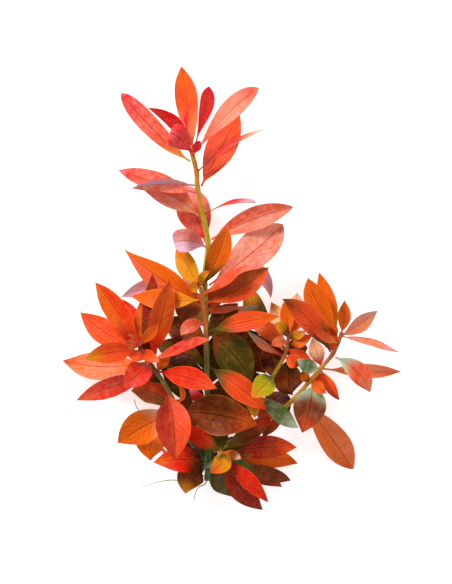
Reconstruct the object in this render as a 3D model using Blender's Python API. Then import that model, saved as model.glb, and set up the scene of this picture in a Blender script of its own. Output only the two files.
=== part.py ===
"""Ludwigia repens, an aquarium plant, lying on its back: six leafy shoots and the first roots."""

import math
from collections import namedtuple

import bmesh
import bpy
import numpy as np

# Driving dimensions, in metres
PLANT_LENGTH = 0.198
STEM_LEVEL = 0.020
EYE_HEIGHT = 1.2
LEAF_THICK = 0.0005
STALK_THICK = 0.0008
STALK_HALF = 0.0005
GAP = 0.0004
MM = 0.001

# The photograph's scale: the pixels that the plant's length takes up, and the middle of the plant
PHOTO_SPAN = 441
PIXEL = PLANT_LENGTH / PHOTO_SPAN
MIDDLE_X = 231.75
MIDDLE_Y = 286.92

# Shares and rates that shape every leaf
STALK_SHARE = 0.05
CURL_FROM = 0.6
FOLD_BEND = 1.4
WAVES = 1.6
FUSED_DEPTH = 0.3
FLOOR_REST = 0.0002
FLOOR_BLEND = 0.0007

# A shoot's route is pixels of the photograph with a height in millimetres, from foot to tip;
# foot and end are its diameters in millimetres, and level is the height its leaves leave it at
Shoot = namedtuple("Shoot", "route foot end level")
SHOOTS = {
    "tall": Shoot(((207, 480, 13), (208, 462, 15), (208, 430, 15), (207, 380, 13),
                   (206, 320, 13), (205, 275, 15), (208, 243, 18), (203, 215, 21),
                   (197.5, 187, 23), (196.5, 172, 24), (192, 153, 24)), 2.7, 2.0, 20),
    "middle": Shoot(((209, 438, 17.4), (208.5, 434, 20), (208, 415, 25), (207.5, 385, 29),
                     (206.5, 350, 31), (205.5, 320, 33), (200, 287, 34)), 2.2, 1.5, 32),
    "left": Shoot(((202, 455.5, 15), (198, 450, 17), (188, 436, 21), (178, 410, 25),
                   (167, 388, 27), (157, 373, 28), (147, 359, 28), (139, 346, 28)), 2.4, 1.6, 27),
    "front": Shoot(((209, 466, 17), (211, 464, 21), (217, 459, 26), (223, 451, 28)),
                   2.4, 2.0, 27),
    "inner": Shoot(((212.5, 440, 15), (220, 434, 17), (240, 416, 21), (259, 395, 26),
                    (273, 376, 30), (284, 357, 32), (287, 346, 32), (290, 331, 32)),
                   2.0, 1.3, 31),
    "right": Shoot(((212.5, 450, 15), (221, 447, 15), (250, 432, 17), (277, 413, 21),
                    (293, 400, 24), (309, 382, 26), (320, 369, 27), (332, 355, 27),
                    (338, 343, 27), (342, 332, 27)), 2.4, 1.6, 26),
}
AXIS_STEPS = 8

# A root's route in the same way
ROOTS = {
    "root_down": ((205, 484, 12), (199, 487, 9), (196, 492, 5), (194, 501, 1)),
    "root_left": ((203, 476, 13), (190, 481, 10), (172, 480, 5), (158, 482, 2), (141, 488, 1)),
    "root_curl": ((177, 405, 20), (156, 415, 10), (139, 410, 8), (134, 399, 8)),
}
ROOT_THICK = 0.8

# A leaf's root, mid and tip are pixels of the photograph that its midrib passes; width is in
# pixels; height is its tip's and rise its middle's above a straight line, in millimetres;
# roll, twist and fold are degrees; tones name its colours from stalk to tip
Leaf = namedtuple("Leaf", "shoot root mid tip width height rise roll twist fold wave curl "
                          "fore aft phase own tones")
LEAVES = {}


def leaf(name, root, mid, tip, width, height, rise, roll, tones, own=True, twist=0, fold=14,
         wave=0.07, curl=0.0, fore=1.1, aft=1.1):
    """Enter a leaf; its shoot is the first word of its name."""
    phase = len(LEAVES) * 1.7
    LEAVES[name] = Leaf(name.split("_")[0], root, mid, tip, width, height, rise, roll, twist,
                        fold, wave, curl, fore, aft, phase, own, tones)


def place(px, py, height):
    """The point at a height in metres that is seen at a pixel of the photograph."""
    reach = PIXEL * (EYE_HEIGHT - height) / (EYE_HEIGHT - STEM_LEVEL)
    return np.array(((px - MIDDLE_X) * reach, (MIDDLE_Y - py) * reach, height))


def unit(vectors):
    """Vectors of length one, along the last axis."""
    return vectors / np.linalg.norm(vectors, axis=-1, keepdims=True)


def smooth_line(points, steps):
    """A curve through the points, with a number of steps between each two of them."""
    padded = [2 * points[0] - points[1]] + list(points) + [2 * points[-1] - points[-2]]
    line = []
    for i in range(1, len(padded) - 2):
        before, start, end, after = padded[i - 1:i + 3]
        for t in np.arange(steps) / steps:
            pull = (end - before) * t + (2 * before - 5 * start + 4 * end - after) * t * t
            line.append(start + 0.5 * (pull + (3 * start - before - 3 * end + after) * t ** 3))
    line.append(points[-1])
    return np.array(line)


def shoot_axis(shoot, steps):
    """The middle line of a shoot and its radius at each point, from its foot to its tip."""
    points = [place(px, py, height * MM) for px, py, height in shoot.route]
    line = smooth_line(points, steps)
    share = np.linspace(0, 1, len(line))
    return line, (shoot.foot + (shoot.end - shoot.foot) * share) * MM / 2


def tube(line, radii, sides):
    """Points and faces of a closed round tube along a line."""
    ahead = unit(np.gradient(line, axis=0))
    across = unit(np.cross(ahead[0], (0.3, 0.2, 1.0)))
    turns = np.arange(sides) * 2 * math.pi / sides
    verts = []
    for centre, way, radius in zip(line, ahead, radii):
        across = unit(across - way * np.dot(across, way))
        other = np.cross(way, across)
        ring = np.outer(np.cos(turns), across) + np.outer(np.sin(turns), other)
        verts.extend(centre + radius * ring)
    faces = [tuple(reversed(range(sides)))]
    for row in range(len(line) - 1):
        for k in range(sides):
            a, b = row * sides + k, row * sides + (k + 1) % sides
            faces.append((a, b, b + sides, a + sides))
    last = (len(line) - 1) * sides
    faces.append(tuple(range(last, last + sides)))
    return np.array(verts), faces


def leaf_root(leaf, aim):
    """Where a leaf leaves its shoot: just off its surface, or inside it for a fused leaf."""
    line, radii = shoot_axis(SHOOTS[leaf.shoot], AXIS_STEPS)
    seen = place(*leaf.root, STEM_LEVEL)
    nearest = int(np.argmin(np.hypot(*(line - seen).T[:2])))
    along = unit(np.gradient(line, axis=0))[nearest]
    out = aim - line[nearest]
    out = unit(out - along * np.dot(out, along))
    depth = radii[nearest] + GAP + STALK_HALF if leaf.own else radii[nearest] * FUSED_DEPTH
    return line[nearest] + out * depth


def midrib(leaf, rows):
    """Points and directions along the middle of a leaf, a bent line through three places."""
    tip = place(*leaf.tip, leaf.height * MM)
    level = SHOOTS[leaf.shoot].level
    mid = place(*leaf.mid, (0.5 * (leaf.height + level) + leaf.rise) * MM)
    root = leaf_root(leaf, mid)
    pull = 2 * mid - 0.5 * (root + tip)
    s = rows[:, None]
    points = (1 - s) ** 2 * root + 2 * s * (1 - s) * pull + s ** 2 * tip
    return points, unit((1 - s) * (pull - root) + s * (tip - pull))


def half_width(leaf, rows):
    """Half the width along a leaf: a narrow stalk, then a blade that ends in a point."""
    u = np.clip((rows - STALK_SHARE) / (1 - STALK_SHARE), 0, 1)
    peak = leaf.fore / (leaf.fore + leaf.aft)
    top = peak ** leaf.fore * (1 - peak) ** leaf.aft
    blade = 0.5 * leaf.width * PIXEL * u ** leaf.fore * (1 - u) ** leaf.aft / top
    return np.maximum(blade, STALK_HALF * (1 - u))


def leaf_sheet(leaf, rows, columns):
    """Middle surface of a leaf and its facing at each row along it and column across it."""
    centre, ahead = midrib(leaf, rows)
    side = unit(np.cross(ahead, (0, 0, 1.0)))
    up = np.cross(side, ahead)
    roll = np.radians(leaf.roll + leaf.twist * (rows - 0.5))[:, None]
    side, up = np.cos(roll) * side + np.sin(roll) * up, np.cos(roll) * up - np.sin(roll) * side
    length = np.linalg.norm(centre[-1] - centre[0])
    bend = np.clip((rows - CURL_FROM) / (1 - CURL_FROM), 0, 1)[:, None] ** 2
    centre = centre - up * leaf.curl * length * bend
    half = half_width(leaf, rows)[:, None]
    fold = math.radians(leaf.fold)
    v = columns[None, :]
    wave = leaf.wave * np.sin(2 * math.pi * WAVES * rows[:, None] + leaf.phase + 2.0 * (v > 0))
    lift = half * (np.abs(v) ** FOLD_BEND * math.sin(fold) + wave * v * v)
    wide = half * v * math.cos(fold)
    sheet = centre[:, None] + side[:, None] * wide[..., None] + up[:, None] * lift[..., None]
    low = FLOOR_BLEND * np.logaddexp(0, (sheet[..., 2] - FLOOR_REST) / FLOOR_BLEND) + FLOOR_REST
    sheet[..., 2] = low
    return sheet, np.broadcast_to(up[:, None], sheet.shape)


def leaf_solid(leaf, along, across, thickness):
    """Points and faces of a leaf as a closed solid with sharp edges and a pointed tip."""
    rows = np.array(along)
    columns = np.linspace(-1, 1, across + 1)
    sheet, up = leaf_sheet(leaf, rows, columns)
    stalk = np.clip(rows / (2 * STALK_SHARE), 0, 1)[:, None]
    deep = 0.5 * (STALK_THICK + (thickness - STALK_THICK) * stalk)
    deep = deep * np.sqrt(1 - columns[None, :] ** 2)
    top = sheet + up * deep[..., None]
    under = sheet - up * deep[..., None]
    under[..., 2] = np.maximum(under[..., 2], 0)
    top[..., 2] = np.maximum(top[..., 2], under[..., 2] + deep)
    rings = np.concatenate((top, under[:, -2:0:-1]), axis=1)[:-1]
    count = rings.shape[1]
    tip = np.maximum(sheet[-1, across // 2] - (0, 0, FLOOR_REST), (-1, -1, 0))
    verts = np.vstack((rings.reshape(-1, 3), tip))
    faces = [tuple(range(count))]
    for row in range(len(rings) - 1):
        for k in range(count):
            a, b = row * count + k, row * count + (k + 1) % count
            faces.append((b, a, a + count, b + count))
    last = (len(rings) - 1) * count
    for k in range(count):
        faces.append((last + (k + 1) % count, last + k, len(verts) - 1))
    return verts, faces

# Leaves of the tall shoot, from its tip down
leaf("tall_01", (191, 150), (186.8, 102), (181.5, 67), 23.5, -5, 1, 0, "salmon coral orange")
leaf("tall_02", (192, 150), (203.5, 113), (209, 86), 19, 20, 2, -35, "crimson crimson crimson",
     own=False, fore=2.2)
leaf("tall_03", (194, 151), (227.5, 113.5), (259, 88), 22, 33, 3, 12, "rose blush rose",
     fore=1.3, aft=0.8)
leaf("tall_04", (201, 187), (221, 148), (240, 112), 31, 13, 2, 5, "rose rose coral")
leaf("tall_05", (198, 173), (230, 147), (267, 128), 17, 36, 4, 72, "deep crimson pale",
     own=False)
leaf("tall_06", (193, 161), (158, 135), (121, 93), 22, 26, 4, -20, "gold rose crimson",
     aft=0.6)
leaf("tall_07", (193, 153), (175, 123), (147, 108), 15, 36, 3, 30, "crimson crimson crimson",
     own=False)
leaf("tall_08", (193, 154), (180, 139), (168, 131), 24, 42, 8, 0, "crimson crimson crimson",
     aft=0.6, curl=0.12)
leaf("tall_09", (194, 155), (197.5, 146), (200.5, 141), 9, 34, 1, 0, "crimson crimson crimson",
     own=False)
leaf("tall_10", (199, 192), (153, 182), (118, 170), 25, 29, 4, -35, "rose rose crimson",
     own=False)
leaf("tall_11", (197.5, 184), (161.5, 184), (131, 188.5), 15, 42, 6, 35, "pink rose pink")
leaf("tall_12", (203, 215), (172, 196), (137, 184), 25, 22, 2, 5, "gold rose rose")
leaf("tall_13", (206, 242), (195.5, 213), (183, 184), 36, 6, 0, 10, "red rose pink")
leaf("tall_14", (204, 215), (229, 204), (256, 203), 16, 32, 3, 70, "deep crimson lilac",
     own=False, fore=1.8, aft=0.7)
leaf("tall_15", (208, 241), (250, 220), (293.5, 207), 24, 28, 5, -8, "coral rose rose",
     aft=0.9)
leaf("tall_16", (206, 285), (251.5, 253), (283, 224), 38, 24, 3, 8, "rose blush blush",
     aft=0.9, fore=1.2)
leaf("tall_17", (208, 246), (191, 241), (173.5, 242), 24, 36, 8, 0, "pink pink lilac",
     aft=0.45)
leaf("tall_18", (206, 270), (254, 271), (271, 298.5), 20, 6, 2, 30, "mint lilac pink")
leaf("tall_19", (206, 299), (161, 279), (123, 248), 29, 6, 0, 5, "rust orange orange",
     aft=1.5)
leaf("tall_20", (206, 284), (160, 285), (121, 297), 22, 0, -2, 20, "pink pink lilac",
     own=False)
leaf("tall_25", (192, 152), (186, 128), (190, 104), 8, 30, 1, 50, "crimson crimson crimson",
     own=False)
leaf("tall_26", (192, 153), (183, 129), (170, 112), 10, 29, 1, 20, "pink pink pale",
     own=False)
leaf("tall_28", (207, 402), (186, 386), (160, 366), 28, 8, -2, 0, "olive olive maroon",
     own=False)
leaf("tall_29", (208, 398), (236, 385), (266, 378), 31, 6, -3, 0, "olive brown maroon",
     own=False)
leaf("tall_30", (208, 452), (195, 445), (177, 435), 22, 5, -4, 0, "olive maroon olive",
     own=False)
leaf("tall_31", (209, 446), (231, 446), (257, 439), 20, 3, -5, 0, "olive olive brown",
     own=False)
leaf("tall_32", (207, 408), (198, 398), (189, 385), 11, 21, 2, 0, "crimson crimson pink",
     own=False)
leaf("tall_33", (207, 425), (190, 414), (170, 400), 26, 6, -3, 0, "olive brown olive",
     own=False)
leaf("tall_34", (207, 390), (214, 362), (214, 334), 28, 8, -4, 0, "olive olive maroon",
     own=False)
leaf("tall_35", (206, 372), (198, 348), (199, 322), 17, 8, -4, 0, "olive maroon olive",
     own=False)
leaf("tall_36", (206, 318), (212, 300), (225, 284), 20, 8, -2, 0, "olive rust brown",
     own=False)
leaf("tall_37", (206, 318), (196, 304), (187, 286), 18, 8, -2, 0, "olive rust olive",
     own=False)
leaf("tall_38", (207, 352), (228, 340), (262, 333), 21, 8, -4, 0, "olive maroon maroon",
     own=False)
leaf("tall_40", (208, 413), (216, 397), (222, 377), 18, 6, -3, 0, "olive brown olive",
     own=False)
leaf("tall_41", (207, 449), (202, 462), (200, 477), 10, 5, -4, 0, "olive green olive",
     own=False)
leaf("tall_42", (209, 444), (214, 455), (218, 466), 10, 6, -4, 0, "olive olive olive",
     own=False)
leaf("tall_43", (209, 420), (231, 407), (259, 416), 18, 4, -3, 0, "olive maroon olive",
     own=False)


# Leaves of the middle shoot
leaf("middle_01", (204.5, 287.5), (218, 254), (227, 226), 23, 46, 4, -12, "olive orange orange",
     fore=1.1)
leaf("middle_02", (200, 288), (187.5, 266), (176, 243), 22, 27, 1, 20, "gold gold orange",
     own=False, fore=0.9)
leaf("middle_03", (199, 286), (194, 287), (188, 287), 12, 38, 1, 0, "gold gold orange",
     own=False)
leaf("middle_04", (201, 285), (202.5, 276.5), (210.5, 271.5), 8, 46, 5, 0, "gold gold orange",
     own=False)
leaf("middle_05", (200, 288), (200, 283), (201, 278), 6, 40, 1, 0, "maroon crimson crimson",
     own=False)
leaf("middle_06", (202, 294), (226, 280), (243, 266), 12, 41, 2, 25, "coral coral coral",
     own=False)
leaf("middle_07", (203, 303), (241, 288), (269, 267), 26, 31, 1, 8, "rust rust rust")
leaf("middle_08", (201, 300), (166, 300), (131, 296), 22, 20, 2, -10, "gold orange orange")
leaf("middle_09", (204, 309), (228, 310), (259, 306), 17, 22, -2, -50, "coral salmon mint",
     own=False)
leaf("middle_10", (205, 331), (243, 322), (279, 316.5), 20, 39, 4, 6, "olive coral orange")
leaf("middle_11", (204, 323), (190, 326), (181, 336), 14, 40, 4, 0, "coral coral salmon",
     own=False)
leaf("middle_12", (205, 333), (231, 352), (253, 381), 38, 25, 1, 6, "brown olive olive")
leaf("middle_13", (204, 345), (186, 332), (163, 319), 28, 19, 0, 0, "brown brown maroon",
     own=False)
leaf("middle_14", (207, 368), (239, 387), (266, 410), 25, 33, 4, -6, "olive coral coral")
leaf("middle_15", (206, 361), (182, 353), (155, 343), 27, 21, 0, 0, "olive maroon olive",
     own=False)
leaf("middle_16", (204, 328), (190, 312), (175, 298), 24, 18, 0, 0, "olive brown olive",
     own=False)
leaf("middle_17", (207, 338), (222, 320), (238, 303), 26, 23, -2, 0, "olive maroon brown",
     own=False)
leaf("middle_18", (207, 372), (185, 368), (160, 360), 23, 22, -2, 0, "maroon olive maroon",
     own=False)

# Leaves of the left shoot
leaf("left_01", (139, 347), (117.3, 312), (95, 282), 24, 25, 1, 6, "coral coral orange",
     own=False)
leaf("left_02", (139, 345), (126, 332), (112, 314), 14, 40, 5, -20, "red coral orange",
     own=False)
leaf("left_03", (139, 347), (108, 334), (80, 312), 27, 14, 0, -6, "red coral coral")
leaf("left_04", (139, 350), (112, 352), (85, 358.5), 22, 34, 3, 10, "coral coral gold")
leaf("left_05", (145, 362), (103, 366.5), (63, 360), 29, -5, 0, -8, "orange salmon orange")
leaf("left_06", (155, 371), (113, 386), (76, 400.5), 21, 11, 3, 10, "red red coral")
leaf("left_07", (146, 361), (138, 374), (123, 385), 26, 37, 5, -10, "deep red red",
     fore=0.8, aft=0.9)
leaf("left_08", (140, 346), (143, 320), (147, 292), 18, 18, 0, 10, "orange orange orange",
     own=False)
leaf("left_09", (141, 346), (151, 309), (152, 273), 18, 20, 0, 10, "brown deep deep",
     own=False)
leaf("left_10", (140, 347), (133, 322), (123, 299), 20, 0, -7, 10, "deep red red",
     own=False)
leaf("left_11", (152, 358), (161, 319), (170, 280), 24, 33, 4, -6, "red rust rust")
leaf("left_12", (141, 345), (150, 334), (158.5, 325.5), 11, 41, 3, 0, "orange orange coral",
     own=False)
leaf("left_13", (138, 346), (132, 344), (125, 343), 13, 42, 3, 0, "coral salmon coral",
     own=False)
leaf("left_14", (139, 345), (138, 339), (127, 335), 8, 44, 2, 0, "salmon coral salmon",
     own=False)
leaf("left_15", (140, 350), (149, 356), (160, 362), 12, 39, 2, 0, "coral coral salmon",
     own=False)
leaf("left_16", (152, 360), (184, 347), (210, 339.5), 15, 45, 2, 40, "coral red coral",
     own=False)
leaf("left_17", (158, 372), (188, 378), (217, 389), 23, 46, 5, 14, "red red coral")
leaf("left_18", (168, 390), (173, 424), (175, 460), 36, 38, 4, 4, "deep red coral")
leaf("left_19", (180, 412), (155, 393), (131, 391), 26, 5, 0, -8, "olive rust orange")
leaf("left_20", (181, 414), (220, 415), (258, 425.5), 42, 34, 2, -6, "brown brown rust",
     fore=0.9)
leaf("left_23", (176, 405), (183, 395), (177, 384), 6, 20, -1, 0, "orange orange orange",
     own=False)
leaf("left_24", (158, 372), (163, 361), (171, 352), 12, 33, 0, 0, "orange orange pink",
     own=False)
leaf("left_25", (152, 366), (148, 352), (144, 335), 20, 17, -2, 0, "deep maroon deep",
     own=False)
leaf("left_26", (163, 384), (153, 376), (142, 367), 12, 21, 0, 0, "olive maroon red",
     own=False)
leaf("left_27", (147, 358), (137, 356), (126, 353), 12, 19, 0, 0, "orange coral coral",
     own=False)


# Leaves of the front shoot and of the foot of the plant
leaf("front_01", (222, 452), (202, 438), (182, 425), 19, 26, 1, 12, "olive red red",
     own=False)
leaf("front_02", (223, 450), (219, 436), (216, 420), 20, 24, 0, 0, "olive olive brown",
     own=False)
leaf("front_03", (225, 448), (249, 432), (272, 416.5), 19, 25, 1, -10, "olive brown red",
     own=False)
leaf("front_04", (222, 453), (262, 447.5), (297, 447.5), 24, 19, 2, 6, "maroon deep coral")
leaf("front_05", (223, 452), (233, 455), (241, 459), 10, 33, 1, 0, "orange brown pale",
     own=False)
leaf("front_06", (222, 455), (221.5, 463), (210, 473), 20, 38, 3, 0, "olive gold coral",
     own=False)
leaf("front_07", (219, 457), (238, 485), (263, 510), 26, 12, 2, 8, "maroon deep deep")
leaf("front_08", (222, 455), (247, 480), (268.5, 502.5), 17, 27, 4, 20, "deep red red")
leaf("front_09", (213, 465), (262, 472.5), (291, 480.5), 17, 4, -3, -8, "maroon brown brown")
leaf("front_10", (221, 455), (236, 463), (255, 471), 12, 18, -1, 20, "green green green",
     own=False)
leaf("tall_21", (209, 464), (260, 457), (298, 463), 24, -3, 0, 14, "brown orange orange")
leaf("tall_22", (206, 462), (180, 459.5), (153, 462.5), 28, 18, 1, -12, "maroon red orange",
     fore=0.7)
leaf("tall_23", (206, 466), (191, 475), (185.5, 494), 29, 11, 0, 8, "maroon brown gold",
     aft=1.1, fore=0.9)
leaf("tall_24", (208, 470), (219, 481), (232, 496), 20, -4, 0, 0, "olive olive green",
     own=False)
leaf("left_21", (176, 409), (144, 425.5), (117.5, 443), 35, 17, 0, 6, "pale orange orange")
leaf("left_22", (186, 436), (156, 436), (151, 460), 38, -5, -3, 0, "rust orange orange")
leaf("tall_27", (209, 468), (256, 475), (282, 487), 16, 2, -4, 0, "brown brown rust",
     own=False)

# Leaves of the inner right shoot
leaf("inner_01", (290, 334), (287, 318), (283, 302), 14, 30, 0, 0, "orange orange orange",
     own=False)
leaf("inner_02", (290, 333), (282, 327), (275, 324), 12, 38, 3, 0, "maroon gold gold",
     own=False)
leaf("inner_03", (288, 342), (279, 342), (271, 346), 11, 38, 2, 0, "salmon salmon coral",
     own=False)
leaf("inner_04", (290, 338), (298, 335), (306, 331), 9, 38, 1, 0, "olive gold pink",
     own=False)
leaf("inner_05", (284, 357), (266, 345), (246, 330), 16, 33, 1, 58, "red salmon mint",
     own=False)
leaf("inner_06", (287, 345), (270, 332), (252, 327), 18, 28, 0, -20, "salmon rust salmon",
     own=False)
leaf("inner_07", (284, 357), (293, 361), (300, 366), 15, 33, 2, 0, "coral coral maroon",
     own=False)
leaf("inner_08", (288, 345), (299, 341), (312, 336), 14, 35, 1, 0, "maroon orange coral",
     own=False)
leaf("inner_09", (287, 349), (299, 355), (312, 361), 12, 31, 0, 0, "coral coral coral",
     own=False)
leaf("inner_10", (287, 350), (258.5, 318), (250, 286), 23, 10, 0, 4, "gold olive gold",
     aft=0.9)
leaf("inner_11", (289, 338), (281, 322), (271, 302), 20, 22, 0, 10, "olive pale gold",
     own=False)
leaf("inner_12", (290, 340), (295, 316), (297, 292.5), 20, 13, 0, 0, "salmon salmon pale",
     own=False)
leaf("inner_13", (284, 358), (263, 354), (242, 373), 42, 11, -5, 0, "maroon maroon maroon",
     own=False)
leaf("inner_14", (275, 376), (264, 385), (251, 398), 23, 41, 3, 0, "green lime gold")
leaf("inner_15", (262, 392), (278, 401), (290, 411), 23, 2, -8, 0, "deep maroon maroon",
     own=False)
leaf("inner_16", (259, 396), (278, 413), (298.5, 428), 19, 26, 1, 20, "olive green mint",
     own=False)
leaf("inner_17", (258, 397), (254, 405), (255, 418), 13, 31, 1, 0, "olive gold gold",
     own=False)
leaf("inner_18", (264, 388), (271, 412), (263, 437), 26, 5, -4, -10, "brown rust brown")

# Leaves of the outer right shoot
leaf("right_01", (340, 335), (318, 303), (308, 278), 24, 34, 2, 10, "orange orange orange")
leaf("right_02", (341, 333), (327.5, 302), (319, 272), 18, 23, 1, -8, "gold orange orange")
leaf("right_03", (342, 334), (344, 318), (344.5, 300), 14, 16, -1, 0, "orange orange orange",
     own=False)
leaf("right_04", (342, 337), (358.5, 324.5), (378, 310.5), 18, 20, 1, -25, "salmon salmon mint",
     own=False, fore=1.2)
leaf("right_05", (340, 336), (370.5, 344), (400, 352.5), 16, 14, 1, 60, "salmon salmon pink",
     own=False)
leaf("right_06", (338, 343), (325, 337), (311, 327), 9, 42, 2, 0, "gold coral coral",
     own=False)
leaf("right_07", (333, 353), (309, 320), (282, 299), 24, 43, 4, -10, "olive coral brown")
leaf("right_08", (334, 352), (330, 342), (326, 331), 14, 31, 0, 0, "coral coral coral",
     own=False)
leaf("right_09", (322, 367), (317, 353), (312, 338), 16, 20, 0, 0, "crimson pale pale",
     own=False)
leaf("right_10", (320, 370), (308, 366), (297, 359), 15, 38, 2, 0, "mint green mint",
     own=False)
leaf("right_11", (322, 369), (361, 371.5), (400.5, 371), 16, -5, 0, 20, "gold salmon coral",
     fore=1.4)
leaf("right_12", (333, 355), (357.5, 372), (370, 392.5), 21, 24, 3, 6, "mint coral salmon")
leaf("right_13", (320, 370), (329, 385.5), (339.5, 400.5), 12, 28, 1, 15, "coral coral maroon",
     own=False)
leaf("right_14", (310, 381), (318, 387), (326, 393.5), 13, 30, 1, 0, "coral orange coral",
     own=False)
leaf("right_15", (309, 383), (309.5, 407), (302, 433), 34, 21, 2, 0, "mint brown coral",
     fore=0.85)
leaf("right_16", (297, 397), (330.5, 436.5), (353, 468.5), 30, -5, 0, 4, "orange orange orange",
     aft=0.95, fore=1.2)
leaf("right_17", (296, 399), (288.5, 382), (290, 358), 31, 17, 0, 0, "maroon brown olive")
leaf("right_18", (309, 383), (305, 377), (302, 371), 10, 31, 1, 0, "olive orange olive",
     own=False)
leaf("inner_19", (290, 336), (300, 318), (306, 299), 13, 21, 0, 0, "orange orange salmon",
     own=False)
leaf("inner_20", (272, 377), (270, 364), (266, 346), 20, 15, -2, 0, "maroon maroon brown",
     own=False)
leaf("inner_21", (285, 355), (296, 350), (308, 348), 20, 26, 0, 0, "deep maroon brown",
     own=False)
leaf("right_19", (318, 371), (318, 378), (314, 388), 11, 20, 0, 0, "coral coral orange",
     own=False)
leaf("inner_22", (277, 371), (279, 355), (279, 339), 14, 22, -1, 0, "maroon brown maroon",
     own=False)
leaf("right_20", (339, 342), (332, 334), (322, 324), 10, 22, 0, 0, "coral rust orange",
     own=False)


# Colours of the tissue, as linear red, green and blue
TONES = {
    "crimson": (0.62, 0.03, 0.04),
    "red": (0.69, 0.02, 0.01),
    "deep": (0.34, 0.01, 0.005),
    "maroon": (0.11, 0.01, 0.005),
    "coral": (0.80, 0.12, 0.05),
    "rose": (0.85, 0.10, 0.05),
    "blush": (0.87, 0.26, 0.16),
    "orange": (0.80, 0.22, 0.03),
    "salmon": (0.85, 0.30, 0.16),
    "pale": (0.85, 0.55, 0.40),
    "pink": (0.75, 0.35, 0.38),
    "lilac": (0.70, 0.50, 0.62),
    "rust": (0.51, 0.07, 0.01),
    "gold": (0.65, 0.28, 0.02),
    "lime": (0.43, 0.38, 0.01),
    "olive": (0.20, 0.14, 0.01),
    "brown": (0.28, 0.07, 0.015),
    "green": (0.10, 0.25, 0.03),
    "mint": (0.45, 0.62, 0.40),
    "stem": (0.42, 0.24, 0.02),
    "root": (0.62, 0.48, 0.34),
}

# How finely the solids are cut
OWN_ROWS = (0, 0.12, 0.27, 0.45, 0.64, 0.83, 1)
FUSED_ROWS = (0, 0.20, 0.48, 0.76, 1)
WIDE_ACROSS = 4
SLIM_ACROSS = 2
WIDE_FROM = 27
SHOOT_STEPS = 2
SHOOT_SIDES = 6
ROOT_STEPS = 3
ROOT_SIDES = 6


def material(tone):
    """The material of one colour of tissue."""
    found = bpy.data.materials.get(tone)
    if found:
        return found
    made = bpy.data.materials.new(tone)
    made.use_nodes = True
    shader = made.node_tree.nodes["Principled BSDF"]
    shader.inputs["Base Color"].default_value = (*TONES[tone], 1)
    shader.inputs["Roughness"].default_value = 0.45
    shader.inputs["Metallic"].default_value = 0
    return made


def solid(name, verts, faces, tone):
    """An object from points and faces, with its faces pointing out."""
    mesh = bpy.data.meshes.new(name)
    mesh.from_pydata([tuple(v) for v in verts], [], faces)
    shape = bmesh.new()
    shape.from_mesh(mesh)
    bmesh.ops.recalc_face_normals(shape, faces=shape.faces)
    bmesh.ops.triangulate(shape, faces=shape.faces)
    shape.to_mesh(mesh)
    shape.free()
    mesh.shade_smooth()
    mesh.materials.append(material(tone))
    made = bpy.data.objects.new(name, mesh)
    bpy.context.scene.collection.objects.link(made)
    return made


def leaf_object(name):
    """A leaf of the list, cut more coarsely where it is fused or slim."""
    entry = LEAVES[name]
    rows = OWN_ROWS if entry.own else FUSED_ROWS
    across = WIDE_ACROSS if entry.own and entry.width >= WIDE_FROM else SLIM_ACROSS
    verts, faces = leaf_solid(entry, rows, across, LEAF_THICK)
    return solid("leaf_" + name, verts, faces, entry.tones.split()[1])


def shoot_object(name):
    """A shoot with the small leaves that are fused to it."""
    line, radii = shoot_axis(SHOOTS[name], SHOOT_STEPS)
    made = solid("shoot_" + name, *tube(line, radii, SHOOT_SIDES), "stem")
    for entry in LEAVES:
        if LEAVES[entry].shoot == name and not LEAVES[entry].own:
            grown = leaf_object(entry)
            grown.hide_render = True
            grown.display_type = "WIRE"
            union = made.modifiers.new(entry, "BOOLEAN")
            union.operation = "UNION"
            union.solver = "EXACT"
            union.object = grown
    return made


def root_object(name):
    """A thin root that tapers to its end."""
    line = smooth_line([place(px, py, height * MM) for px, py, height in ROOTS[name]], ROOT_STEPS)
    radii = np.linspace(ROOT_THICK, ROOT_THICK / 2, len(line)) * MM / 2
    return solid(name, *tube(line, radii, ROOT_SIDES), "root")


def main():
    """Clear the scene and build the plant."""
    for old in list(bpy.data.objects):
        bpy.data.objects.remove(old, do_unlink=True)
    for name in SHOOTS:
        shoot_object(name)
    for name, entry in LEAVES.items():
        if entry.own:
            leaf_object(name)
    for name in ROOTS:
        root_object(name)


main()
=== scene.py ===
"""Looks of the aquarium plant: fine leaves, stems and roots in place of the plain solids."""

import math
from collections import namedtuple

import bpy
import numpy as np
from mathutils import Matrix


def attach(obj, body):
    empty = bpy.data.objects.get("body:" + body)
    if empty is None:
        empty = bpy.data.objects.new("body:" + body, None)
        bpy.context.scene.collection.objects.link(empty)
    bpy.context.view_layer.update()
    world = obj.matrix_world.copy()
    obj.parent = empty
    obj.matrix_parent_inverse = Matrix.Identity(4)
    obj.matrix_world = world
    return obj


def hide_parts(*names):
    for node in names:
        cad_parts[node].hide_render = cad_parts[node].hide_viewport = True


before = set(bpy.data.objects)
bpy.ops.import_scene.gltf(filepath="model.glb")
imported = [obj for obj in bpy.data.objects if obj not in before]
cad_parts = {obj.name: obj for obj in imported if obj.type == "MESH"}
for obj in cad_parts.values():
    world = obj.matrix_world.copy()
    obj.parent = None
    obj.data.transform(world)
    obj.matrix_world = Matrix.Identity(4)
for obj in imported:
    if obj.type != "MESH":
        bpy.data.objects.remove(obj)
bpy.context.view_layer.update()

# Sizes that the part's source states too, in metres
PLANT_LENGTH = 0.198
STEM_LEVEL = 0.020
EYE_HEIGHT = 1.2
LEAF_THICK = 0.00032
STALK_THICK = 0.0008
STALK_HALF = 0.0005
GAP = 0.0004
MM = 0.001

# The photograph's scale: the pixels that the plant's length takes up, and the middle of the plant
PHOTO_SPAN = 441
PIXEL = PLANT_LENGTH / PHOTO_SPAN
MIDDLE_X = 231.75
MIDDLE_Y = 286.92

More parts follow.
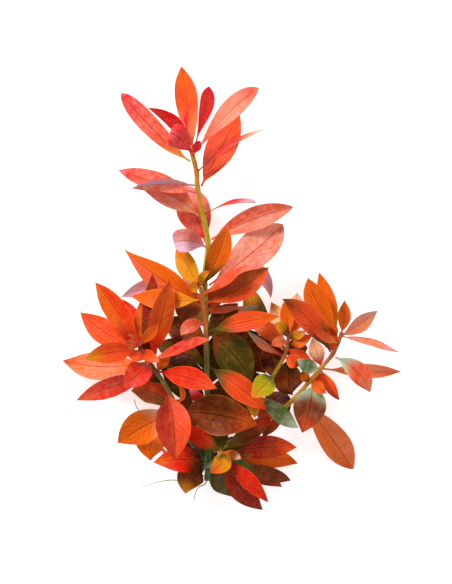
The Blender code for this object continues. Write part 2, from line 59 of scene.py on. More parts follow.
# Shares and rates that shape every leaf
STALK_SHARE = 0.05
CURL_FROM = 0.6
FOLD_BEND = 1.4
WAVES = 1.6
FUSED_DEPTH = 0.3
FLOOR_REST = 0.0002
FLOOR_BLEND = 0.0007

# A shoot's route is pixels of the photograph with a height in millimetres, from foot to tip;
# foot and end are its diameters in millimetres, and level is the height its leaves leave it at
Shoot = namedtuple("Shoot", "route foot end level")
SHOOTS = {
    "tall": Shoot(((207, 480, 13), (208, 462, 15), (208, 430, 15), (207, 380, 13),
                   (206, 320, 13), (205, 275, 15), (208, 243, 18), (203, 215, 21),
                   (197.5, 187, 23), (196.5, 172, 24), (192, 153, 24)), 2.7, 2.0, 20),
    "middle": Shoot(((209, 438, 17.4), (208.5, 434, 20), (208, 415, 25), (207.5, 385, 29),
                     (206.5, 350, 31), (205.5, 320, 33), (200, 287, 34)), 2.2, 1.5, 32),
    "left": Shoot(((202, 455.5, 15), (198, 450, 17), (188, 436, 21), (178, 410, 25),
                   (167, 388, 27), (157, 373, 28), (147, 359, 28), (139, 346, 28)), 2.4, 1.6, 27),
    "front": Shoot(((209, 466, 17), (211, 464, 21), (217, 459, 26), (223, 451, 28)),
                   2.4, 2.0, 27),
    "inner": Shoot(((212.5, 440, 15), (220, 434, 17), (240, 416, 21), (259, 395, 26),
                    (273, 376, 30), (284, 357, 32), (287, 346, 32), (290, 331, 32)),
                   2.0, 1.3, 31),
    "right": Shoot(((212.5, 450, 15), (221, 447, 15), (250, 432, 17), (277, 413, 21),
                    (293, 400, 24), (309, 382, 26), (320, 369, 27), (332, 355, 27),
                    (338, 343, 27), (342, 332, 27)), 2.4, 1.6, 26),
}
AXIS_STEPS = 8

# A root's route in the same way, and its diameter where it starts, in millimetres
ROOTS = {
    "root_down": ((207, 479, 13), (205, 484, 12), (199, 487, 9), (196, 492, 5), (194, 501, 1)),
    "root_left": ((207, 476, 13), (203, 476, 13), (190, 481, 10), (172, 480, 5), (158, 482, 2),
                  (141, 488, 1)),
    "root_curl": ((178, 410, 25), (177, 405, 20), (156, 415, 10), (139, 410, 8), (134, 399, 8)),
}
ROOT_THICK = 0.7

# A leaf's root, mid and tip are pixels of the photograph that its midrib passes; width is in
# pixels; height is its tip's and rise its middle's above a straight line, in millimetres;
# roll, twist and fold are degrees; tones name its colours from stalk to tip
Leaf = namedtuple("Leaf", "shoot root mid tip width height rise roll twist fold wave curl "
                          "fore aft phase own tones")
LEAVES = {}
PHASE_STEP = 1.7


def leaf(name, root, mid, tip, width, height, rise, roll, tones, own=True, twist=0, fold=14,
         wave=0.07, curl=0.0, fore=1.1, aft=1.1):
    """Enter a leaf; its shoot is the first word of its name."""
    phase = len(LEAVES) * PHASE_STEP
    LEAVES[name] = Leaf(name.split("_")[0], root, mid, tip, width, height, rise, roll, twist,
                        fold, wave, curl, fore, aft, phase, own, tones)


def place(px, py, height):
    """The point at a height in metres that is seen at a pixel of the photograph."""
    reach = PIXEL * (EYE_HEIGHT - height) / (EYE_HEIGHT - STEM_LEVEL)
    return np.array(((px - MIDDLE_X) * reach, (MIDDLE_Y - py) * reach, height))


def unit(vectors):
    """Vectors of length one, along the last axis."""
    return vectors / np.linalg.norm(vectors, axis=-1, keepdims=True)


def smooth_line(points, steps):
    """A curve through the points, with a number of steps between each two of them."""
    padded = [2 * points[0] - points[1]] + list(points) + [2 * points[-1] - points[-2]]
    line = []
    for i in range(1, len(padded) - 2):
        before, start, end, after = padded[i - 1:i + 3]
        for t in np.arange(steps) / steps:
            pull = (end - before) * t + (2 * before - 5 * start + 4 * end - after) * t * t
            line.append(start + 0.5 * (pull + (3 * start - before - 3 * end + after) * t ** 3))
    line.append(points[-1])
    return np.array(line)


def shoot_axis(shoot, steps):
    """The middle line of a shoot and its radius at each point, from its foot to its tip."""
    points = [place(px, py, height * MM) for px, py, height in shoot.route]
    line = smooth_line(points, steps)
    share = np.linspace(0, 1, len(line))
    return line, (shoot.foot + (shoot.end - shoot.foot) * share) * MM / 2


def tube(line, radii, sides):
    """Points and faces of a closed round tube along a line."""
    ahead = unit(np.gradient(line, axis=0))
    across = unit(np.cross(ahead[0], (0.3, 0.2, 1.0)))
    turns = np.arange(sides) * 2 * math.pi / sides
    verts = []
    for centre, way, radius in zip(line, ahead, radii):
        across = unit(across - way * np.dot(across, way))
        other = np.cross(way, across)
        ring = np.outer(np.cos(turns), across) + np.outer(np.sin(turns), other)
        verts.extend(centre + radius * ring)
    faces = [tuple(reversed(range(sides)))]
    for row in range(len(line) - 1):
        for k in range(sides):
            a, b = row * sides + k, row * sides + (k + 1) % sides
            faces.append((a, b, b + sides, a + sides))
    last = (len(line) - 1) * sides
    faces.append(tuple(range(last, last + sides)))
    return np.array(verts), faces


def leaf_root(leaf, aim):
    """Where a leaf leaves its shoot: just off its surface, or inside it for a fused leaf."""
    line, radii = shoot_axis(SHOOTS[leaf.shoot], AXIS_STEPS)
    seen = place(*leaf.root, STEM_LEVEL)
    nearest = int(np.argmin(np.hypot(*(line - seen).T[:2])))
    along = unit(np.gradient(line, axis=0))[nearest]
    out = aim - line[nearest]
    out = unit(out - along * np.dot(out, along))
    depth = radii[nearest] + GAP + STALK_HALF if leaf.own else radii[nearest] * FUSED_DEPTH
    return line[nearest] + out * depth


def midrib(leaf, rows):
    """Points and directions along the middle of a leaf, a bent line through three places."""
    tip = place(*leaf.tip, leaf.height * MM)
    level = SHOOTS[leaf.shoot].level
    mid = place(*leaf.mid, (0.5 * (leaf.height + level) + leaf.rise) * MM)
    root = leaf_root(leaf, mid)
    pull = 2 * mid - 0.5 * (root + tip)
    s = rows[:, None]
    points = (1 - s) ** 2 * root + 2 * s * (1 - s) * pull + s ** 2 * tip
    return points, unit((1 - s) * (pull - root) + s * (tip - pull))


def half_width(leaf, rows):
    """Half the width along a leaf: a narrow stalk, then a blade that ends in a point."""
    u = np.clip((rows - STALK_SHARE) / (1 - STALK_SHARE), 0, 1)
    peak = leaf.fore / (leaf.fore + leaf.aft)
    top = peak ** leaf.fore * (1 - peak) ** leaf.aft
    blade = 0.5 * leaf.width * PIXEL * u ** leaf.fore * (1 - u) ** leaf.aft / top
    return np.maximum(blade, STALK_HALF * (1 - u))


def leaf_sheet(leaf, rows, columns):
    """Middle surface of a leaf and its facing at each row along it and column across it."""
    centre, ahead = midrib(leaf, rows)
    side = unit(np.cross(ahead, (0, 0, 1.0)))
    up = np.cross(side, ahead)
    roll = np.radians(leaf.roll + leaf.twist * (rows - 0.5))[:, None]
    side, up = np.cos(roll) * side + np.sin(roll) * up, np.cos(roll) * up - np.sin(roll) * side
    length = np.linalg.norm(centre[-1] - centre[0])
    bend = np.clip((rows - CURL_FROM) / (1 - CURL_FROM), 0, 1)[:, None] ** 2
    centre = centre - up * leaf.curl * length * bend
    half = half_width(leaf, rows)[:, None]
    fold = math.radians(leaf.fold)
    v = columns[None, :]
    wave = leaf.wave * np.sin(2 * math.pi * WAVES * rows[:, None] + leaf.phase + 2.0 * (v > 0))
    lift = half * (np.abs(v) ** FOLD_BEND * math.sin(fold) + wave * v * v)
    wide = half * v * math.cos(fold)
    sheet = centre[:, None] + side[:, None] * wide[..., None] + up[:, None] * lift[..., None]
    low = FLOOR_BLEND * np.logaddexp(0, (sheet[..., 2] - FLOOR_REST) / FLOOR_BLEND) + FLOOR_REST
    sheet[..., 2] = low
    return sheet, np.broadcast_to(up[:, None], sheet.shape)


def leaf_solid(leaf, along, across, thickness):
    """Points and faces of a leaf as a closed solid with sharp edges and a pointed tip."""
    rows = np.array(along)
    columns = np.linspace(-1, 1, across + 1)
    sheet, up = leaf_sheet(leaf, rows, columns)
    stalk = np.clip(rows / (2 * STALK_SHARE), 0, 1)[:, None]
    deep = 0.5 * (STALK_THICK + (thickness - STALK_THICK) * stalk)
    deep = deep * np.sqrt(1 - columns[None, :] ** 2)
    top = sheet + up * deep[..., None]
    under = sheet - up * deep[..., None]
    under[..., 2] = np.maximum(under[..., 2], 0)
    top[..., 2] = np.maximum(top[..., 2], under[..., 2] + deep)
    rings = np.concatenate((top, under[:, -2:0:-1]), axis=1)[:-1]
    count = rings.shape[1]
    tip = np.maximum(sheet[-1, across // 2] - (0, 0, FLOOR_REST), (-1, -1, 0))
    verts = np.vstack((rings.reshape(-1, 3), tip))
    faces = [tuple(range(count))]
    for row in range(len(rings) - 1):
        for k in range(count):
            a, b = row * count + k, row * count + (k + 1) % count
            faces.append((b, a, a + count, b + count))
    last = (len(rings) - 1) * count
    for k in range(count):
        faces.append((last + (k + 1) % count, last + k, len(verts) - 1))
    return verts, faces

# Leaves of the tall shoot, from its tip down
leaf("tall_01", (191, 150), (186.8, 102), (181.5, 67), 23.5, -5, 1, 0, "salmon coral orange")
leaf("tall_02", (192, 150), (203.5, 113), (209, 86), 19, 20, 2, -35, "crimson crimson crimson",
     own=False, fore=2.2)
leaf("tall_03", (194, 151), (227.5, 113.5), (259, 88), 22, 33, 3, 12, "rose blush rose",
     fore=1.3, aft=0.8)
leaf("tall_04", (201, 187), (221, 148), (240, 112), 31, 13, 2, 5, "rose rose coral")
leaf("tall_05", (198, 173), (230, 147), (267, 128), 17, 36, 4, 72, "deep crimson pale",
     own=False)
leaf("tall_06", (193, 161), (158, 135), (121, 93), 22, 26, 4, -20, "gold rose crimson",
     aft=0.6)
leaf("tall_07", (193, 153), (175, 123), (147, 108), 15, 36, 3, 30, "crimson crimson crimson",
     own=False)
leaf("tall_08", (193, 154), (180, 139), (168, 131), 24, 42, 8, 0, "crimson crimson crimson",
     aft=0.6, curl=0.12)
leaf("tall_09", (194, 155), (197.5, 146), (200.5, 141), 9, 34, 1, 0, "crimson crimson crimson",
     own=False)
leaf("tall_10", (199, 192), (153, 182), (118, 170), 25, 29, 4, -35, "rose rose crimson",
     own=False)
leaf("tall_11", (197.5, 184), (161.5, 184), (131, 188.5), 15, 42, 6, 35, "pink rose pink")
leaf("tall_12", (203, 215), (172, 196), (137, 184), 25, 22, 2, 5, "gold rose rose")
leaf("tall_13", (206, 242), (195.5, 213), (183, 184), 36, 6, 0, 10, "red rose pink")
leaf("tall_14", (204, 215), (229, 204), (256, 203), 16, 32, 3, 70, "deep crimson lilac",
     own=False, fore=1.8, aft=0.7)
leaf("tall_15", (208, 241), (250, 220), (293.5, 207), 24, 28, 5, -8, "coral rose rose",
     aft=0.9)
leaf("tall_16", (206, 285), (251.5, 253), (283, 224), 38, 24, 3, 8, "rose blush blush",
     aft=0.9, fore=1.2)
leaf("tall_17", (208, 246), (191, 241), (173.5, 242), 24, 36, 8, 0, "pink pink lilac",
     aft=0.45)
leaf("tall_18", (206, 270), (254, 271), (271, 298.5), 20, 6, 2, 30, "mint lilac pink")
leaf("tall_19", (206, 299), (161, 279), (123, 248), 29, 6, 0, 5, "rust orange orange",
     aft=1.5)
leaf("tall_20", (206, 284), (160, 285), (121, 297), 22, 0, -2, 20, "pink pink lilac",
     own=False)
leaf("tall_25", (192, 152), (186, 128), (190, 104), 8, 30, 1, 50, "crimson crimson crimson",
     own=False)
leaf("tall_26", (192, 153), (183, 129), (170, 112), 10, 29, 1, 20, "pink pink pale",
     own=False)
# The dark olive, brown and maroon leaves among those below stand deep inside the bush: their tones
# are partly the plant's own colour of older leaves and partly painted shade of the inside of the
# bush.
leaf("tall_28", (207, 402), (186, 386), (160, 366), 28, 8, -2, 0, "olive olive maroon",
     own=False)
leaf("tall_29", (208, 398), (236, 385), (266, 378), 31, 6, -3, 0, "olive brown maroon",
     own=False)
leaf("tall_30", (208, 452), (195, 445), (177, 435), 22, 5, -4, 0, "olive maroon olive",
     own=False)
leaf("tall_31", (209, 446), (231, 446), (257, 439), 20, 3, -5, 0, "olive olive brown",
     own=False)
leaf("tall_32", (207, 408), (198, 398), (189, 385), 11, 21, 2, 0, "crimson crimson pink",
     own=False)
leaf("tall_33", (207, 425), (190, 414), (170, 400), 26, 6, -3, 0, "olive brown olive",
     own=False)
leaf("tall_34", (207, 390), (214, 362), (214, 334), 28, 8, -4, 0, "olive olive maroon",
     own=False)
leaf("tall_35", (206, 372), (198, 348), (199, 322), 17, 8, -4, 0, "olive maroon olive",
     own=False)
leaf("tall_36", (206, 318), (212, 300), (225, 284), 20, 8, -2, 0, "olive rust brown",
     own=False)
leaf("tall_37", (206, 318), (196, 304), (187, 286), 18, 8, -2, 0, "olive rust olive",
     own=False)
leaf("tall_38", (207, 352), (228, 340), (262, 333), 21, 8, -4, 0, "olive maroon maroon",
     own=False)
leaf("tall_40", (208, 413), (216, 397), (222, 377), 18, 6, -3, 0, "olive brown olive",
     own=False)
leaf("tall_41", (207, 449), (202, 462), (200, 477), 10, 5, -4, 0, "olive green olive",
     own=False)
leaf("tall_42", (209, 444), (214, 455), (218, 466), 10, 6, -4, 0, "olive olive olive",
     own=False)
leaf("tall_43", (209, 420), (231, 407), (259, 416), 18, 4, -3, 0, "olive maroon olive",
     own=False)


# Leaves of the middle shoot
leaf("middle_01", (204.5, 287.5), (218, 254), (227, 226), 23, 46, 3.6, -12, "olive orange orange",
     fore=1.1)
leaf("middle_02", (200, 288), (187.5, 266), (176, 243), 22, 27, 1, 20, "gold gold orange",
     own=False, fore=0.9)
leaf("middle_03", (199, 286), (194, 287), (188, 287), 12, 38, 1, 0, "gold gold orange",
     own=False)
leaf("middle_04", (201, 285), (202.5, 276.5), (210.5, 271.5), 8, 46, 5, 0, "gold gold orange",
     own=False)
leaf("middle_05", (200, 288), (200, 283), (201, 278), 6, 40, 1, 0, "maroon crimson crimson",
     own=False)
leaf("middle_06", (202, 294), (226, 280), (243, 266), 12, 41, 2, 25, "coral coral coral",
     own=False)
leaf("middle_07", (203, 303), (241, 288), (269, 267), 26, 31, 1, 8, "rust rust rust")
leaf("middle_08", (201, 300), (166, 300), (131, 296), 22, 20, 2, -10, "gold orange orange")
leaf("middle_09", (204, 309), (228, 310), (259, 306), 17, 22, -2, -50, "coral salmon mint",
     own=False)
leaf("middle_10", (205, 331), (243, 322), (279, 316.5), 20, 39, 4, 6, "olive coral orange")
leaf("middle_11", (204, 323), (190, 326), (181, 336), 14, 40, 4, 0, "coral coral salmon",
     own=False)
leaf("middle_12", (205, 333), (231, 352), (253, 381), 38, 25, 1, 6, "brown olive olive")
# The dark brown, olive and maroon leaves among those below stand deep inside the bush: their tones
# are partly their own colour and partly painted shade.
leaf("middle_13", (204, 345), (186, 332), (163, 319), 28, 19, 0, 0, "brown brown maroon",
     own=False)
leaf("middle_14", (207, 368), (239, 387), (266, 410), 25, 33, 4, -6, "olive coral coral")
leaf("middle_15", (206, 361), (182, 353), (155, 343), 27, 21, 0, 0, "olive maroon olive",
     own=False)
leaf("middle_16", (204, 328), (190, 312), (175, 298), 24, 18, 0, 0, "olive brown olive",
     own=False)
leaf("middle_17", (207, 338), (222, 320), (238, 303), 26, 23, -2, 0, "olive maroon brown",
     own=False)
leaf("middle_18", (207, 372), (185, 368), (160, 360), 23, 22, -2, 0, "maroon olive maroon",
     own=False)

# Leaves of the left shoot
leaf("left_01", (139, 347), (117.3, 312), (95, 282), 24, 25, 1, 6, "coral coral orange",
     own=False)
leaf("left_02", (139, 345), (126, 332), (112, 314), 14, 40, 5, -20, "red coral orange",
     own=False)
leaf("left_03", (139, 347), (108, 334), (80, 312), 27, 14, 0, -6, "red coral coral")
leaf("left_04", (139, 350), (112, 352), (85, 358.5), 22, 34, 3, 10, "coral coral gold")
leaf("left_05", (145, 362), (103, 366.5), (63, 360), 29, -5, 0, -8, "orange salmon orange")
leaf("left_06", (155, 371), (113, 386), (76, 400.5), 21, 11, 3, 10, "red red coral")
leaf("left_07", (146, 361), (138, 374), (123, 385), 26, 37, 5, -10, "deep red red",
     fore=0.8, aft=0.9)
leaf("left_08", (140, 346), (143, 320), (147, 292), 18, 18, 0, 10, "orange orange orange",
     own=False)
leaf("left_09", (141, 346), (151, 309), (152, 273), 18, 20, 0, 10, "brown deep deep",
     own=False)
leaf("left_10", (140, 347), (133, 322), (123, 299), 20, 0, -7, 10, "deep red red",
     own=False)
leaf("left_11", (152, 358), (161, 319), (170, 280), 24, 33, 4, -6, "red rust rust")
leaf("left_12", (141, 345), (150, 334), (158.5, 325.5), 11, 41, 3, 0, "orange orange coral",
     own=False)
leaf("left_13", (138, 346), (132, 344), (125, 343), 13, 42, 3, 0, "coral salmon coral",
     own=False)
leaf("left_14", (139, 345), (138, 339), (127, 335), 8, 44, 2, 0, "salmon coral salmon",
     own=False)
leaf("left_15", (140, 350), (149, 356), (160, 362), 12, 39, 2, 0, "coral coral salmon",
     own=False)
leaf("left_16", (152, 360), (184, 347), (210, 339.5), 15, 45, 2, 40, "coral red coral",
     own=False)
leaf("left_17", (158, 372), (188, 378), (217, 389), 23, 46, 5, 14, "red red coral")
leaf("left_18", (168, 390), (173, 424), (175, 460), 36, 38, 4, 4, "deep red coral")
leaf("left_19", (180, 412), (155, 393), (131, 391), 26, 5, 0, -8, "olive rust orange")
leaf("left_20", (181, 414), (220, 415), (258, 425.5), 42, 34, 2, -6, "brown brown rust",
     fore=0.9)
leaf("left_23", (176, 405), (183, 395), (177, 384), 6, 20, -1, 0, "orange orange orange",
     own=False)
leaf("left_24", (158, 372), (163, 361), (171, 352), 12, 33, 0, 0, "orange orange pink",
     own=False)
leaf("left_25", (152, 366), (148, 352), (144, 335), 20, 17, -2, 0, "deep maroon deep",
     own=False)
leaf("left_26", (163, 384), (153, 376), (142, 367), 12, 21, 0, 0, "olive maroon red",
     own=False)
leaf("left_27", (147, 358), (137, 356), (126, 353), 12, 19, 0, 0, "orange coral coral",
     own=False)


# Leaves of the front shoot and of the foot of the plant
leaf("front_01", (222, 452), (202, 438), (182, 425), 19, 26, 1, 12, "olive red red",
     own=False)
leaf("front_02", (223, 450), (219, 436), (216, 420), 20, 24, 0, 0, "olive olive brown",
     own=False)
leaf("front_03", (225, 448), (249, 432), (272, 416.5), 19, 25, 1, -10, "olive brown red",
     own=False)
leaf("front_04", (222, 453), (262, 447.5), (297, 447.5), 24, 19, 2, 6, "maroon deep coral")
leaf("front_05", (223, 452), (233, 455), (241, 459), 10, 33, 1, 0, "orange brown pale",
     own=False)
leaf("front_06", (222, 455), (221.5, 463), (210, 473), 20, 38, 3, 0, "olive gold coral",
     own=False)
leaf("front_07", (219, 457), (238, 485), (263, 510), 26, 12, 2, 8, "maroon deep deep")
leaf("front_08", (222, 455), (247, 480), (268.5, 502.5), 17, 27, 4, 20, "deep red red")
leaf("front_09", (213, 465), (262, 472.5), (291, 480.5), 17, 4, -3, -8, "maroon brown brown")
leaf("front_10", (221, 455), (236, 463), (255, 471), 12, 18, -1, 20, "green green green",
     own=False)
leaf("tall_21", (209, 464), (260, 457), (298, 463), 24, -3, 0, 14, "brown orange orange")
leaf("tall_22", (206, 462), (180, 459.5), (153, 462.5), 28, 18, 1, -12, "maroon red orange",
     fore=0.7)
leaf("tall_23", (206, 466), (191, 475), (185.5, 494), 29, 11, 0, 8, "maroon brown gold",
     aft=1.1, fore=0.9)
leaf("tall_24", (208, 470), (219, 481), (232, 496), 20, -4, 0, 0, "olive olive green",
     own=False)
leaf("left_21", (176, 409), (144, 425.5), (117.5, 443), 35, 17, 0, 6, "pale orange orange")
leaf("left_22", (186, 436), (156, 436), (151, 460), 38, -5, -3, 0, "rust orange orange")
leaf("tall_27", (209, 468), (256, 475), (282, 487), 16, 2, -4, 0, "brown brown rust",
     own=False)

# Leaves of the inner right shoot
leaf("inner_01", (290, 334), (287, 318), (283, 302), 14, 30, 0, 0, "orange orange orange",
     own=False)
leaf("inner_02", (290, 333), (282, 327), (275, 324), 12, 38, 3, 0, "maroon gold gold",
     own=False)
leaf("inner_03", (288, 342), (279, 342), (271, 346), 11, 38, 2, 0, "salmon salmon coral",
     own=False)
leaf("inner_04", (290, 338), (298, 335), (306, 331), 9, 38, 1, 0, "olive gold pink",
     own=False)
leaf("inner_05", (284, 357), (266, 345), (246, 330), 16, 33, 1, 58, "red salmon mint",
     own=False)
leaf("inner_06", (287, 345), (270, 332), (252, 327), 18, 28, 0, -20, "salmon rust salmon",
     own=False)
leaf("inner_07", (284, 357), (293, 361), (300, 366), 15, 33, 2, 0, "coral coral maroon",
     own=False)
leaf("inner_08", (288, 345), (299, 341), (312, 336), 14, 35, 1, 0, "maroon orange coral",
     own=False)
leaf("inner_09", (287, 349), (299, 355), (312, 361), 12, 31, 0, 0, "coral coral coral",
     own=False)
leaf("inner_10", (287, 350), (258.5, 318), (250, 286), 23, 10, 0, 4, "gold olive gold",
     aft=0.9)
leaf("inner_11", (289, 338), (281, 322), (271, 302), 20, 22, 0, 10, "olive pale gold",
     own=False)
leaf("inner_12", (290, 340), (295, 316), (297, 292.5), 20, 13, 0, 0, "salmon salmon pale",
     own=False)
# This dark maroon leaf and the deep maroon inner_15 stand deep inside the bush: their tones are
# partly their own colour and partly painted shade.
leaf("inner_13", (284, 358), (263, 354), (242, 373), 42, 11, -5, 0, "maroon maroon maroon",
     own=False)
leaf("inner_14", (275, 376), (264, 385), (251, 398), 23, 41, 3, 0, "green lime gold")
leaf("inner_15", (262, 392), (278, 401), (290, 411), 23, 2, -8, 0, "deep maroon maroon",
     own=False)
leaf("inner_16", (259, 396), (278, 413), (298.5, 428), 19, 26, 1, 20, "olive green mint",
     own=False)
leaf("inner_17", (258, 397), (254, 405), (255, 418), 13, 31, 1, 0, "olive gold gold",
     own=False)
leaf("inner_18", (264, 388), (271, 412), (263, 437), 26, 5, -4, -10, "brown rust brown")

# Leaves of the outer right shoot, then small ones in the depth of both right shoots
leaf("right_01", (340, 335), (318, 303), (308, 278), 24, 34, 2, 10, "orange orange orange")
leaf("right_02", (341, 333), (327.5, 302), (319, 272), 18, 23, 1, -8, "gold orange orange")
leaf("right_03", (342, 334), (344, 318), (344.5, 300), 14, 16, -1, 0, "orange orange orange",
     own=False)
leaf("right_04", (342, 337), (358.5, 324.5), (378, 310.5), 18, 20, 1, -25, "salmon salmon mint",
     own=False, fore=1.2)
leaf("right_05", (340, 336), (370.5, 344), (400, 352.5), 16, 14, 1, 60, "salmon salmon pink",
     own=False)
leaf("right_06", (338, 343), (325, 337), (311, 327), 9, 42, 2, 0, "gold coral coral",
     own=False)
leaf("right_07", (333, 353), (309, 320), (282, 299), 24, 43, 4, -10, "olive coral brown")
leaf("right_08", (334, 352), (330, 342), (326, 331), 14, 31, 0, 0, "coral coral coral",
     own=False)
leaf("right_09", (322, 367), (317, 353), (312, 338), 16, 20, 0, 0, "crimson pale pale",
     own=False)
leaf("right_10", (320, 370), (308, 366), (297, 359), 15, 38, 2, 0, "mint green mint",
     own=False)
leaf("right_11", (322, 369), (361, 371.5), (400.5, 371), 16, -5, 0, 20, "gold salmon coral",
     fore=1.4)
leaf("right_12", (333, 355), (357.5, 372), (370, 392.5), 21, 24, 3, 6, "mint coral salmon")
leaf("right_13", (320, 370), (329, 385.5), (339.5, 400.5), 12, 28, 1, 15, "coral coral maroon",
     own=False)
leaf("right_14", (310, 381), (318, 387), (326, 393.5), 13, 30, 1, 0, "coral orange coral",
     own=False)
leaf("right_15", (309, 383), (309.5, 407), (302, 433), 34, 21, 2, 0, "mint brown coral",
     fore=0.85)
leaf("right_16", (297, 397), (330.5, 436.5), (353, 468.5), 30, -5, 0, 4, "orange orange orange",
     aft=0.95, fore=1.2)
leaf("right_17", (296, 399), (288.5, 382), (290, 358), 31, 17, 0, 0, "maroon brown olive")
leaf("right_18", (309, 383), (305, 377), (302, 371), 10, 31, 1, 0, "olive orange olive",
     own=False)
leaf("inner_19", (290, 336), (300, 318), (306, 299), 13, 21, 0, 0, "orange orange salmon",
     own=False)
# inner_20, inner_21 and inner_22 stand deep inside the bush: their dark tones are partly their own
# colour and partly painted shade.
leaf("inner_20", (272, 377), (270, 364), (266, 346), 20, 15, -2, 0, "maroon maroon brown",
     own=False)
leaf("inner_21", (285, 355), (296, 350), (308, 348), 20, 26, 0, 0, "deep maroon brown",
     own=False)
leaf("right_19", (318, 371), (318, 378), (314, 388), 11, 20, 0, 0, "coral coral orange",
     own=False)
leaf("inner_22", (277, 371), (279, 355), (279, 339), 14, 22, -1, 0, "maroon brown maroon",
     own=False)
leaf("right_20", (339, 342), (332, 334), (322, 324), 10, 22, 0, 0, "coral rust orange",
     own=False)


# Colours of the tissue as red, green and blue of a screen, from 0 to 255
TONES = {
    "crimson": (236, 30, 46),
    "red": (218, 30, 8),
    "deep": (146, 16, 5),
    "maroon": (78, 18, 6),
    "coral": (236, 74, 26),
    "rose": (238, 88, 62),
    "blush": (240, 140, 112),
    "orange": (230, 98, 8),
    "rust": (188, 64, 6),
    "brown": (118, 44, 6),
    "salmon": (242, 124, 78),
    "pale": (242, 190, 150),
    "pink": (230, 142, 146),
    "lilac": (212, 172, 196),
    "gold": (222, 140, 8),
    "lime": (178, 168, 12),
    "olive": (76, 68, 8),
    "green": (60, 108, 34),
    # the mint tone is a painted highlight: the pale reflection on glossy leaves painted into their
    # colour
    "mint": (172, 202, 164),
    "stem": (170, 126, 24),
    "root": (190, 186, 168),
}
UNDERSIDE = (222, 146, 136)
UNDERSIDE_SHARE = 0.4

# Leaves whose halves differ, seen from the stalk: the tones of the left and of the right half,
# partly the leaf's own two-tone colour and partly painted light and shade, one half of the folded
# blade lit and the other in shade
HALVES = {
    "tall_04": ("rose", "coral"),
    "tall_11": ("rose", "lilac"),
    "tall_12": ("blush", "coral"),
    "tall_15": ("coral", "blush"),
    "tall_16": ("blush", "rose"),
    "tall_17": ("lilac", "rose"),
    "tall_19": ("rose", "orange"),
    "middle_07": ("brown", "coral"),
    "left_01": ("orange", "red"),
    "left_18": ("coral", "deep"),
    "left_19": ("olive", "rust"),
    "right_13": ("coral", "deep"),
    "right_16": ("salmon", "orange"),
    "right_04": ("blush", "salmon"),
    "right_11": ("blush", "salmon"),
}
HALF_SHARE = 0.6

# How strong the painted sheen is on the leaves that have it: a pale highlight painted into their
# colour
PAINTED_SHEEN = {
    "tall_03": 0.5, "tall_06": 0.5, "tall_08": 0.4, "tall_10": 0.6, "tall_11": 0.8,
    "tall_12": 0.7, "tall_13": 0.6, "tall_15": 0.7, "tall_16": 0.9, "tall_17": 0.7,
    "tall_18": 0.6, "tall_20": 0.6, "left_06": 0.3, "left_07": 0.2, "left_16": 0.3,
    "left_05": 0.4, "left_18": 0.1, "middle_11": 0.6, "middle_06": 0.3, "middle_09": 0.4,
    "right_04": 0.4, "right_05": 0.7, "right_10": 0.7, "right_12": 0.4, "right_15": 0.15,
    "right_16": 0.2, "inner_16": 0.6, "inner_12": 0.5, "inner_05": 0.4,
}
SHEEN_TONE = (252, 214, 204)

# Shading of the tissue: what its dark marks are multiplied by, what its light ones lean to
DARKER = (196, 120, 96)
LIGHTER = (255, 168, 66)
GRAIN_SCALE = 1500.0
CLOUD_SCALE = 260.0
SHEEN_SCALE = 420.0

# How finely the pieces are made
FINE_ROWS = 34
FINE_ACROSS = 16
SLIM_ACROSS = 10
SLIM_WIDTH = 15
STEM_STEPS = 12
STEM_SIDES = 20
ROOT_STEPS = 10
ROOT_SIDES = 10

# Pattern of a leaf: side veins on each half, their slant and waver, its speckles, and how the pale
# rim of painted light spreads among the leaves
VEIN_COUNT = 10.0
VEIN_SLANT = -0.30
VEIN_BEND = 0.8
VEIN_WAVER = 0.07
STREAKS_ACROSS = 9.0
STREAKS_ALONG = 3.5
RIM_GLOW_SPREAD = 2.3

# How strongly each mark of a leaf shows
LIGHT_SHARE = 0.30
CLOUD_SHARE = 0.26
STREAK_SHARE = 0.30
SPECK_DARK_SHARE = 0.26
SPECK_LIGHT_SHARE = 0.24
VEIN_SHARE = 0.30
FLANK_SHARE = 0.16
RIB_SHARE = 0.55
# the pale rim is painted light: the glow of light through the thin margin
RIM_GLOW_SHARE = 0.6
# the sheen shares set the painted pale highlight on the leaves
SHEEN_SHARE = 0.6
SHEEN_VEIN_SHARE = 0.1

# Relief and gloss of a leaf
BUMP_STRENGTH = 0.5
BUMP_DEPTH = 0.0005
GLOSS_LEAST = 0.28
GLOSS_SPAN = 0.25
LEAF_SPECULAR = 0.1

# Where along a leaf one tone passes into the next, and how the passage bends and drifts
TO_MIDDLE = (0.08, 0.40)
TO_TIP = (0.52, 0.92)
TONE_BEND = 0.12
TONE_DRIFT = 0.10
HALF_BLEND = 0.25

# Stems: how far and how much they swell at a leaf, and their colours at foot, middle and tip
NODE_REACH = 0.0012
NODE_SWELL = 0.00014
STEM_COLOURS = {
    "tall": ((70, 116, 56), (168, 156, 14), (196, 126, 12)),
    "middle": ((52, 64, 16), (104, 104, 18), (176, 84, 14)),
    "left": ((74, 74, 14), (110, 98, 16), (120, 52, 12)),
    "front": ((120, 116, 30), (130, 110, 24), (180, 120, 30)),
    "inner": ((90, 80, 14), (150, 112, 18), (176, 96, 18)),
    "right": ((170, 150, 24), (186, 132, 20), (168, 72, 18)),
}
STEM_TO_MIDDLE = (0.1, 0.55)
STEM_TO_TIP = (0.66, 0.8)
STEM_LIGHT = (232, 206, 60)
STEM_LIGHT_SHARE = 0.25
STEM_MARK_SHARE = 0.5
STEM_GRAIN_SCALE = 1100.0
STEM_CLOUD_SCALE = 260.0
ROOT_DEEP = (120, 132, 104)
ROOT_GRAIN_SCALE = 800.0

# Edges that turn by more than this, in radians, are drawn sharp
SHARP_FROM = 1.2

